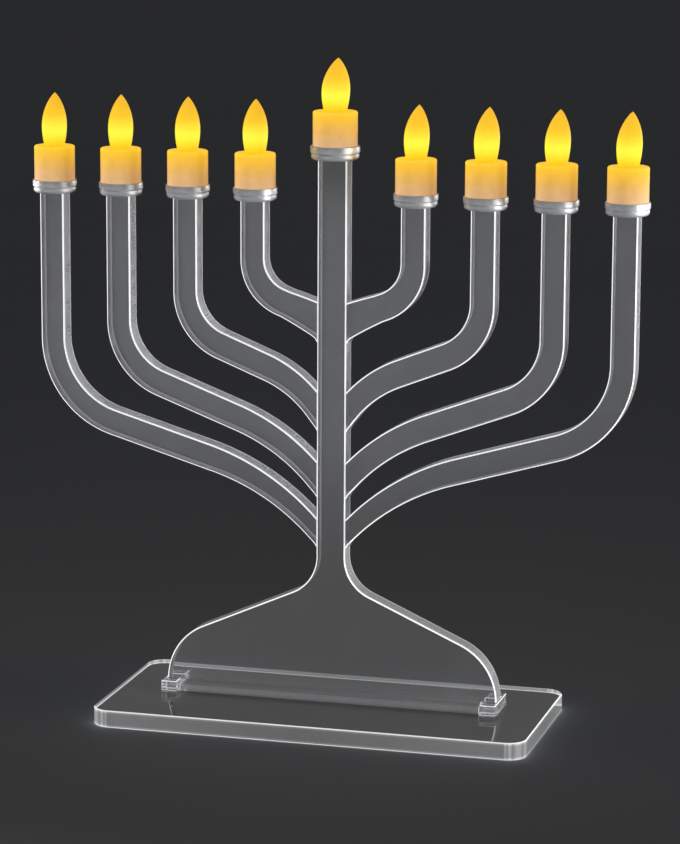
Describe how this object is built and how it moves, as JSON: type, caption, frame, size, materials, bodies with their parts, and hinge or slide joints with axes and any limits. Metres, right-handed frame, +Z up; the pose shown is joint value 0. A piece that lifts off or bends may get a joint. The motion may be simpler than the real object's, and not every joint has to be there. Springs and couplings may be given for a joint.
{
  "type": "menorah",
  "caption": "Branched candle holder in clear acrylic sheet on a flat base, with turned metal cups, the centre one raised, and lift-out LED candles.",
  "frame": {"origin": "middle of the base plate's underside, on the table", "axes": "+X to the right along the row of candles, +Y to the back, +Z up; the front faces -Y"},
  "size_m": [0.556, 0.18, 0.5872],
  "materials": {
    "clear_acrylic": "clear, polished faces with bright sawn edges",
    "polished_aluminium": "turned and polished, silvery",
    "ivory_plastic": "satin, translucent wax look, lit from inside",
    "flame_diffuser": "frosted, glowing warm yellow",
    "white_plastic": "matt moulded",
    "black_plastic": "matt moulded"
  },
  "bodies": {
    "root": {"base_plate": "clear_acrylic", "stem_panel": "clear_acrylic", "front_rail": "clear_acrylic", "rear_rail": "clear_acrylic", "left_end_clip": "clear_acrylic", "right_end_clip": "clear_acrylic", "left_outer_arm": "clear_acrylic", "left_second_arm": "clear_acrylic", "left_third_arm": "clear_acrylic", "left_inner_arm": "clear_acrylic", "right_outer_arm": "clear_acrylic", "right_second_arm": "clear_acrylic", "right_third_arm": "clear_acrylic", "right_inner_arm": "clear_acrylic", "left_outer_cup": "polished_aluminium", "left_second_cup": "polished_aluminium", "left_third_cup": "polished_aluminium", "left_inner_cup": "polished_aluminium", "centre_cup": "polished_aluminium", "right_inner_cup": "polished_aluminium", "right_third_cup": "polished_aluminium", "right_second_cup": "polished_aluminium", "right_outer_cup": "polished_aluminium"},
    "left_outer_candle": {"left_outer_candle_shell": "ivory_plastic", "left_outer_flame": "flame_diffuser", "left_outer_light_unit": "white_plastic"},
    "left_outer_switch": {"left_outer_switch": "black_plastic"},
    "left_second_candle": {"left_second_candle_shell": "ivory_plastic", "left_second_flame": "flame_diffuser", "left_second_light_unit": "white_plastic"},
    "left_second_switch": {"left_second_switch": "black_plastic"},
    "left_third_candle": {"left_third_candle_shell": "ivory_plastic", "left_third_flame": "flame_diffuser", "left_third_light_unit": "white_plastic"},
    "left_third_switch": {"left_third_switch": "black_plastic"},
    "left_inner_candle": {"left_inner_candle_shell": "ivory_plastic", "left_inner_flame": "flame_diffuser", "left_inner_light_unit": "white_plastic"},
    "left_inner_switch": {"left_inner_switch": "black_plastic"},
    "centre_candle": {"centre_candle_shell": "ivory_plastic", "centre_flame": "flame_diffuser", "centre_light_unit": "white_plastic"},
    "centre_switch": {"centre_switch": "black_plastic"},
    "right_inner_candle": {"right_inner_candle_shell": "ivory_plastic", "right_inner_flame": "flame_diffuser", "right_inner_light_unit": "white_plastic"},
    "right_inner_switch": {"right_inner_switch": "black_plastic"},
    "right_third_candle": {"right_third_candle_shell": "ivory_plastic", "right_third_flame": "flame_diffuser", "right_third_light_unit": "white_plastic"},
    "right_third_switch": {"right_third_switch": "black_plastic"},
    "right_second_candle": {"right_second_candle_shell": "ivory_plastic", "right_second_flame": "flame_diffuser", "right_second_light_unit": "white_plastic"},
    "right_second_switch": {"right_second_switch": "black_plastic"},
    "right_outer_candle": {"right_outer_candle_shell": "ivory_plastic", "right_outer_flame": "flame_diffuser", "right_outer_light_unit": "white_plastic"},
    "right_outer_switch": {"right_outer_switch": "black_plastic"}
  },
  "joints": [
    {"name": "left_outer_candle_lift", "type": "slide", "parent": "root", "child": "left_outer_candle", "axis": [0, 0, 1], "range_m": [0, 0.06]},
    {"name": "left_second_candle_lift", "type": "slide", "parent": "root", "child": "left_second_candle", "axis": [0, 0, 1], "range_m": [0, 0.06]},
    {"name": "left_third_candle_lift", "type": "slide", "parent": "root", "child": "left_third_candle", "axis": [0, 0, 1], "range_m": [0, 0.06]},
    {"name": "left_inner_candle_lift", "type": "slide", "parent": "root", "child": "left_inner_candle", "axis": [0, 0, 1], "range_m": [0, 0.06]},
    {"name": "centre_candle_lift", "type": "slide", "parent": "root", "child": "centre_candle", "axis": [0, 0, 1], "range_m": [0, 0.06]},
    {"name": "right_inner_candle_lift", "type": "slide", "parent": "root", "child": "right_inner_candle", "axis": [0, 0, 1], "range_m": [0, 0.06]},
    {"name": "right_third_candle_lift", "type": "slide", "parent": "root", "child": "right_third_candle", "axis": [0, 0, 1], "range_m": [0, 0.06]},
    {"name": "right_second_candle_lift", "type": "slide", "parent": "root", "child": "right_second_candle", "axis": [0, 0, 1], "range_m": [0, 0.06]},
    {"name": "right_outer_candle_lift", "type": "slide", "parent": "root", "child": "right_outer_candle", "axis": [0, 0, 1], "range_m": [0, 0.06]},
    {"name": "left_outer_switch_slide", "type": "slide", "parent": "left_outer_candle", "child": "left_outer_switch", "axis": [1, 0, 0], "range_m": [0, 0.003]},
    {"name": "left_second_switch_slide", "type": "slide", "parent": "left_second_candle", "child": "left_second_switch", "axis": [1, 0, 0], "range_m": [0, 0.003]},
    {"name": "left_third_switch_slide", "type": "slide", "parent": "left_third_candle", "child": "left_third_switch", "axis": [1, 0, 0], "range_m": [0, 0.003]},
    {"name": "left_inner_switch_slide", "type": "slide", "parent": "left_inner_candle", "child": "left_inner_switch", "axis": [1, 0, 0], "range_m": [0, 0.003]},
    {"name": "centre_switch_slide", "type": "slide", "parent": "centre_candle", "child": "centre_switch", "axis": [1, 0, 0], "range_m": [0, 0.003]},
    {"name": "right_inner_switch_slide", "type": "slide", "parent": "right_inner_candle", "child": "right_inner_switch", "axis": [1, 0, 0], "range_m": [0, 0.003]},
    {"name": "right_third_switch_slide", "type": "slide", "parent": "right_third_candle", "child": "right_third_switch", "axis": [1, 0, 0], "range_m": [0, 0.003]},
    {"name": "right_second_switch_slide", "type": "slide", "parent": "right_second_candle", "child": "right_second_switch", "axis": [1, 0, 0], "range_m": [0, 0.003]},
    {"name": "right_outer_switch_slide", "type": "slide", "parent": "right_outer_candle", "child": "right_outer_switch", "axis": [1, 0, 0], "range_m": [0, 0.003]}
  ]
}
